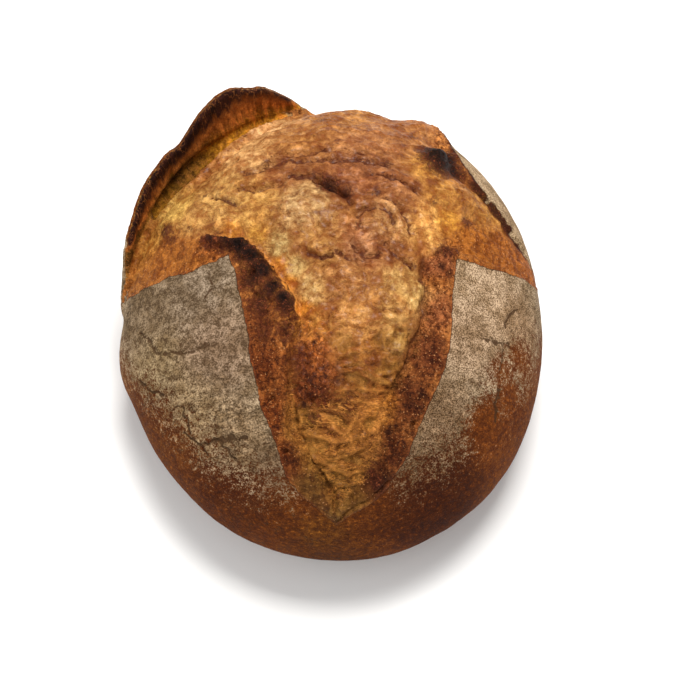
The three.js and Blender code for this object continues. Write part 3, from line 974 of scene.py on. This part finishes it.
crustColors = {
    "gaps": (84, 64, 44),
    # painted shade in the shadow gap beside the front right flap
    "gapShade": (84, 44, 18),
    "crack": (66, 44, 26),
    # the flaps' cut edge, and also the painted highlights in the char
    "cutEdge": (140, 72, 38),
    # painted shade in the crumb's pits
    "shadedPit": (42, 17, 9),
    "glint": (224, 158, 100),
    "strand": (232, 152, 70),
    "window": (152, 104, 46),
    # painted shade in the bloom's creases
    "creaseShade": (84, 36, 18),
    "char": (16, 7, 5),
    "scorch": (64, 27, 14),
    "glow": (230, 152, 72),
    "earRoot": (168, 116, 28),
    # painted shade in the hollow under the ear
    "earHollowShade": (52, 34, 9),
    "earGold": (184, 122, 44),
    "earMiddle": (176, 102, 42),
    "earRim": (46, 19, 11),
    "earHair": (186, 116, 60),
}


def addPatterns(bench):
    # the patterns and masks that several finishes share
    bench.colors = {name: (*map(float, toLinear(color)), 1) for name, color in crustColors.items()}
    bench.grain = bench.noise(0.85, 2, 0.6)
    bench.mottle = bench.noise(3.0, 5, 0.65)
    bench.patch = bench.noise(14, 5, 0.6, twist=0.5)
    bench.blotch = bench.timesPlus(bench.grain, 0.5, bench.times(bench.mottle, 0.5))
    bench.sandy = bench.between(bench.blotch, 0.38, 0.62)
    bench.sponge = bench.timesPlus(bench.noise(2.6, 4, 0.7, twist=0.6), 0.7, bench.times(bench.grain, 0.3))
    bench.streaks = bench.noise(6, 4, 0.65, (1.6, 0.7, 0.5), 0.6)
    ragged = bench.around(bench.noise(1.6, 3, 0.6), 1.4)
    bench.flapEdge = bench.plus(bench.mark("flapDepth"), ragged)
    bench.onFlap = bench.between(bench.flapEdge, -0.3, 0.3)
    bench.inBloom = bench.between(bench.plus(bench.mark("bloomDepth"), bench.times(ragged, 2.4)), -1.4, 1.6)
    coarseHairs = bench.hairs(8, 0.026, (0.45, 1.3, 1), 1.4)
    fineHairs = bench.hairs(4, 0.036, (0.5, 1.3, 1), 1.2)
    bench.drawn = bench.times(bench.larger(coarseHairs, bench.times(fineHairs, 0.7)), bench.mark("front"))
    wide = bench.noise(5.5, 5, 0.7, twist=0.25)
    bench.soft = bench.between(bench.timesPlus(bench.patch, 0.35, bench.times(wide, 0.65)), 0.38, 0.62)


def bakedCrust(bench):
    # bare baked crust with lighter freckles
    toned, between = bench.toned, bench.between
    pattern = bench.timesPlus(bench.patch, 0.5, bench.times(bench.mottle, 0.5))
    tint = bench.mark("bakeTint", "Color")
    bake = toned(tint, between(pattern, 0.38, 0.64), (0.78, 0.7, 0.64), (1.2, 1.24, 1.26))
    bake = toned(bake, bench.sandy, (0.72, 0.68, 0.62), (1.36, 1.45, 1.5))
    return toned(bake, between(bench.noise(1.5, 2, 0.6), 0.58, 0.7), (1, 1, 1), (1.7, 1.75, 1.7))


def flouredCrust(bench):
    # light grains over darker gaps
    toned, between, noise, mix = bench.toned, bench.between, bench.noise, bench.mix
    leftSide = bench.minus(1.0, bench.mark("rightSide"))
    coarse = bench.timesPlus(noise(0.7, 2, 0.6), 0.75, bench.times(bench.mottle, 0.25))
    speckle = mix(leftSide, coarse, bench.blotch)
    flour = toned(bench.mark("flourTint", "Color"), between(speckle, 0.37, 0.64),
                  (0.32, 0.27, 0.2), (1.78, 1.88, 2.0))
    flour = toned(flour, between(noise(9, 5, 0.65), 0.38, 0.62), (0.72, 0.68, 0.61), (1.24, 1.28, 1.33))
    gaps = bench.times(between(bench.blotch, 0.46, 0.37), bench.timesPlus(leftSide, 0.55, 0.1))
    return mix(gaps, flour, bench.colors["gaps"])


def flapCrust(bench):
    # flour that breaks up into specks lower down, with cracks and a net of fine crazing
    mark, between, times = bench.mark, bench.between, bench.times
    breakUp = bench.plus(bench.around(bench.blotch, 130.0), bench.around(bench.patch, 30.0))
    floured = between(bench.plus(mark("flourDepth"), breakUp), -10.0, 12.0)
    skin = bench.mix(floured, bakedCrust(bench), flouredCrust(bench))
    cracks = between(bench.plus(mark("crack"), bench.around(bench.mottle, 1.4)), 0.7, 0.88)
    net = bench.add("ShaderNodeTexVoronoi", feature="DISTANCE_TO_EDGE")
    net.inputs["Scale"].default_value = 1 / (10 * toMetres)
    bench.plug(bench.shaken(3.0, 7.0), net.inputs["Vector"])
    crazing = times(between(net.outputs["Distance"], 0.035, 0.0), between(bench.patch, 0.47, 0.56))
    onLeft = times(bench.minus(1.0, mark("rightSide")), between(mark("flapDepth"), 4.0, 12.0, 0, 0.7))
    lines = bench.larger(times(cracks, 0.85), times(crazing, onLeft))
    return bench.mix(lines, skin, bench.colors["crack"])


def tornCrumb(bench):
    # rough, pitted crumb between a flap and the bloom, calmer on the open slopes, with painted shade in the
    # pits, painted highlights round their rims and painted glints
    mark, between, mix, times, toned = bench.mark, bench.between, bench.mix, bench.times, bench.toned
    calm = times(mark("slope"), 0.6)
    crumb = bench.plus(times(between(bench.sponge, 0.38, 0.62), bench.minus(1.0, calm)), times(calm, 0.45))
    torn = toned(mark("tornTint", "Color"), crumb, (0.4, 0.3, 0.26), (1.72, 1.8, 1.95))
    torn = toned(torn, between(bench.streaks, 0.36, 0.62), (0.62, 0.5, 0.4), (1.28, 1.32, 1.36))
    depth = bench.plus(mark("shadedPit"), bench.around(bench.mottle, 0.9))
    # painted highlight round each pit's rim, painted shade inside the pit
    pitRimLight = times(between(depth, 0.06, 0.16), between(depth, 0.34, 0.2))
    pits = times(between(depth, 0.32, 0.75), bench.timesPlus(mark("slope"), -0.55, 0.65))
    torn = mix(times(pitRimLight, 0.35), torn, bench.lighter(torn, (1.7, 1.75, 1.8)))
    torn = mix(pits, torn, bench.colors["shadedPit"])
    torn = mix(between(bench.noise(1.1, 1, 0.5), 0.66, 0.74, 0, 0.6), torn, bench.colors["glint"])
    return mix(between(bench.flapEdge, -1.7, -0.4, 0, 0.25), torn, bench.colors["cutEdge"])


def goldenBloom(bench):
    # the raised middle: soft gold at the back, strands over thin membranes at the front
    mark, noise, mix, between = bench.mark, bench.noise, bench.mix, bench.between
    times, timesPlus, toned, colors = bench.times, bench.timesPlus, bench.toned, bench.colors
    front, window = mark("front"), mark("window")
    gold = toned(mark("tornTint", "Color"), bench.soft, (0.6, 0.44, 0.31), (1.46, 1.62, 1.84))
    gold = toned(gold, between(mark("ridge"), 0.45, 0.85), (1.06, 1.1, 1.12), (0.8, 0.68, 0.56))
    # painted shade in the valleys between the puffs
    gold = mix(times(mark("valleyShade"), 0.8), gold, bench.darker(gold, (0.4, 0.25, 0.15)))
    # painted highlight: the puffs' tops are lighter and pinker, less so at the front
    puffHighlight = times(mark("puff"), timesPlus(front, -0.38, 0.38))
    gold = mix(puffHighlight, gold, bench.lighter(gold, (1.4, 1.5, 1.75)))
    gold = toned(gold, bench.sandy, (0.84, 0.8, 0.75), (1.15, 1.17, 1.2))
    dusky = toned(gold, between(bench.sponge, 0.4, 0.6), (0.48, 0.34, 0.25), (1.2, 1.12, 1.05))
    gold = mix(times(timesPlus(window, -1.0, 1.0), front), gold, dusky)
    thinned = between(bench.streaks, 0.38, 0.62)
    membrane = toned(colors["window"], thinned, (0.6, 0.52, 0.4), (1.3, 1.3, 1.3))
    gold = mix(times(window, 0.8), gold, membrane)
    strand = mix(timesPlus(front, 0.8, 0.1), gold, colors["strand"])
    gold = mix(times(bench.larger(bench.drawn, mark("strand")), 0.75), gold, strand)
    darkFreckles = between(noise(4.5, 5, 0.75, (0.75, 1.3, 1), 0.3), 0.57, 0.64, 0, 0.5)
    gold = mix(darkFreckles, gold, bench.darker(gold, (0.5, 0.34, 0.22)))
    # painted highlights: tiny lighter specks on the bloom
    highlightSpecks = between(noise(1.3, 2, 0.6), 0.62, 0.72, 0, 0.4)
    gold = mix(highlightSpecks, gold, bench.lighter(gold, (1.45, 1.55, 1.75)))
    # painted shade in the creases and in the shadow gap
    shaky = bench.plus(mark("creaseShade"), bench.around(noise(1.8, 4, 0.7), 1.5))
    creased = bench.larger(between(shaky, 0.62, 0.85, 0, 0.85), times(mark("creaseShade"), 0.4))
    gold = mix(creased, gold, colors["creaseShade"])
    return mix(times(mark("gapShade"), 0.75), gold, colors["gapShade"])


def earLining(bench):
    # the ear seen from inside: pale root, nearly black rim, fibres running up, and painted shade in the
    # hollow under it
    mark, mix, between, times, toned = bench.mark, bench.mix, bench.between, bench.times, bench.toned
    hollowShade, colors = mark("hollowShade"), bench.colors
    fibres = bench.noise(5, 4, 0.6, (1.2, 1.2, 0.25))
    height = bench.plus(mark("earHeight"), bench.around(fibres, 1.3))
    root = mix(times(mark("bridge"), between(fibres, 0.4, 0.55)), colors["earRoot"], colors["earGold"])
    inner = mix(between(height, -0.1, 0.4), root, colors["earMiddle"])
    # painted shade darkens the lining in the hollow
    inner = mix(times(hollowShade, 0.5), inner, bench.darker(inner, (0.5, 0.48, 0.4)))
    inner = mix(between(height, 0.4, 0.88), inner, colors["earRim"])
    inner = toned(inner, between(fibres, 0.38, 0.62), (0.5, 0.42, 0.34), (1.5, 1.55, 1.6))
    inner = toned(inner, bench.sandy, (0.68, 0.62, 0.56), (1.4, 1.4, 1.4))
    shade = toned(colors["earHollowShade"], between(bench.mottle, 0.4, 0.6), (0.5, 0.5, 0.5), (2.2, 2.1, 1.8))
    inner = mix(times(hollowShade, between(mark("earHeight"), 0.45, 0.05, 0, 1.0)), inner, shade)
    return mix(times(bench.hairs(5, 0.016, (1.2, 1.2, 0.3)), 0.5), inner, colors["earHair"])


def burn(bench, color):
    # scorch spreads round each charred spot, and the char is broken by scorch brown and by lighter reddish
    # specks, which are painted highlights
    mark, between, mix, colors = bench.mark, bench.between, bench.mix, bench.colors
    soot = bench.timesPlus(bench.noise(2.2, 4, 0.75), 0.6, bench.times(bench.grain, 0.4))
    burnt = bench.plus(mark("charring"), bench.around(soot, 3.4))
    burnt = bench.times(burnt, between(mark("charring"), 0.05, 0.35))
    scorch = bench.toned(colors["scorch"], between(soot, 0.4, 0.6), (0.6, 0.55, 0.5), (1.5, 1.35, 1.25))
    color = mix(between(burnt, 0.1, 0.6, 0, 0.8), color, scorch)
    deep = bench.timesPlus(mark("charring"), -0.11, soot)
    charWithHighlights = mix(between(deep, 0.36, 0.46), colors["char"], colors["scorch"])
    # painted highlights: lighter reddish specks on the burnt crumb
    charWithHighlights = mix(between(deep, 0.46, 0.54, 0, 0.9), charWithHighlights, colors["cutEdge"])
    return mix(between(burnt, 0.5, 1.0, 0, 0.94), color, charWithHighlights)


def crustColor(bench):
    mark, mix, between = bench.mark, bench.mix, bench.between
    torn = tornCrumb(bench)
    crumbled = between(bench.plus(mark("crumbly"), bench.around(bench.sponge, 2.0)), 0.3, 0.6)
    gold = mix(crumbled, goldenBloom(bench), bench.toned(torn, 1.0, (1, 1, 1), (0.86, 0.8, 0.8)))
    color = mix(bench.inBloom, torn, gold)
    glow = bench.compute("MULTIPLY", mark("glow"), bench.minus(0.95, mark("gapShade")), clamp=True)
    color = mix(bench.times(glow, between(bench.blotch, 0.4, 0.6, 0.2, 0.9)), color, bench.colors["glow"])
    color = mix(bench.onFlap, burn(bench, color), flapCrust(bench))
    return mix(mark("earInside"), color, earLining(bench))


def crustRoughness(bench):
    tornRough, bloomRough, flourRough = (0.62,) * 3 + (1,), (0.45,) * 3 + (1,), (0.9,) * 3 + (1,)
    rough = bench.mix(bench.onFlap, bench.mix(bench.inBloom, tornRough, bloomRough), flourRough)
    return bench.compute("ADD", rough, bench.around(bench.mottle, 0.5), clamp=True)


def crustGloss(bench):
    # a thin shine on the bloom, none on flour, char or the front's crumb
    gloss = bench.times(bench.inBloom, bench.between(bench.mottle, 0.44, 0.6, 0.02, 0.24))
    gloss = bench.times(gloss, bench.timesPlus(bench.mark("front"), -0.75, 1.0))
    dull = bench.compute("MAXIMUM", bench.onFlap, bench.mark("charring"), clamp=True)
    return bench.times(gloss, bench.minus(1.0, dull))


def crustMaterial():
    bench = NodeBench("crust")
    addPatterns(bench)
    bench.plug(crustColor(bench), bench.shader.inputs["Base Color"])
    bench.plug(crustRoughness(bench), bench.shader.inputs["Roughness"])
    bench.plug(crustGloss(bench), bench.shader.inputs["Coat Weight"])
    bench.shader.inputs["Specular IOR Level"].default_value = 0.1
    bench.shader.inputs["Coat Roughness"].default_value = 0.34
    inTear = bench.times(bench.minus(1.0, bench.onFlap), bench.timesPlus(bench.inBloom, -0.8, 1.0))
    height = bench.timesPlus(bench.times(bench.sponge, inTear), 3.4, bench.blotch)
    height = bench.timesPlus(bench.drawn, 0.6, height)
    height = bench.timesPlus(bench.times(bench.soft, bench.inBloom), 1.5, height)
    bumps = bench.add("ShaderNodeBump")
    bumps.inputs["Distance"].default_value = 0.7 * toMetres
    bumps.inputs["Strength"].default_value = 1.0
    bench.plug(height, bumps.inputs["Height"])
    bench.plug(bumps.outputs["Normal"], bench.shader.inputs["Normal"])
    return bench.material


# Mesh grids in millimetres, and how much of the fine mesh is kept
meshing = {"firstGrid": 1.5, "firstSmoothing": 3, "fineGrid": 1.0, "fineSmoothing": 1, "keptShare": 0.455}

addCamera()
addLights()
addWorld()
addFloor()
print("studio ready")
loaf = addDough()
joinPieces(loaf, addEar())
remesh(loaf, meshing["firstGrid"], meshing["firstSmoothing"])
print("dough and ear joined", len(loaf.data.vertices))
crust = crustMap(readPoints(loaf))
pushOut(loaf, tearLift(crust) * (1 - crust["onEar"]))
remesh(loaf, meshing["fineGrid"], meshing["fineSmoothing"])
print("tear shaped", len(loaf.data.vertices))
crust = crustMap(readPoints(loaf))
lift = roughLift(crust, readPoints(loaf))[0]
pushOut(loaf, lift * (1 - 0.7 * crust["onEar"]))
print("crust roughened")
applyModifier(loaf, "DECIMATE", "thin", ratio=meshing["keptShare"])
layOnFloor(loaf)
selectOnly(loaf)
bpy.ops.object.shade_smooth()
markFinishes(loaf, readPoints(loaf), readNormals(loaf))
loaf.data.materials.clear()
loaf.data.materials.append(crustMaterial())
print("finishes marked", len(loaf.data.polygons))
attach(loaf, "root")
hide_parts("loaf")
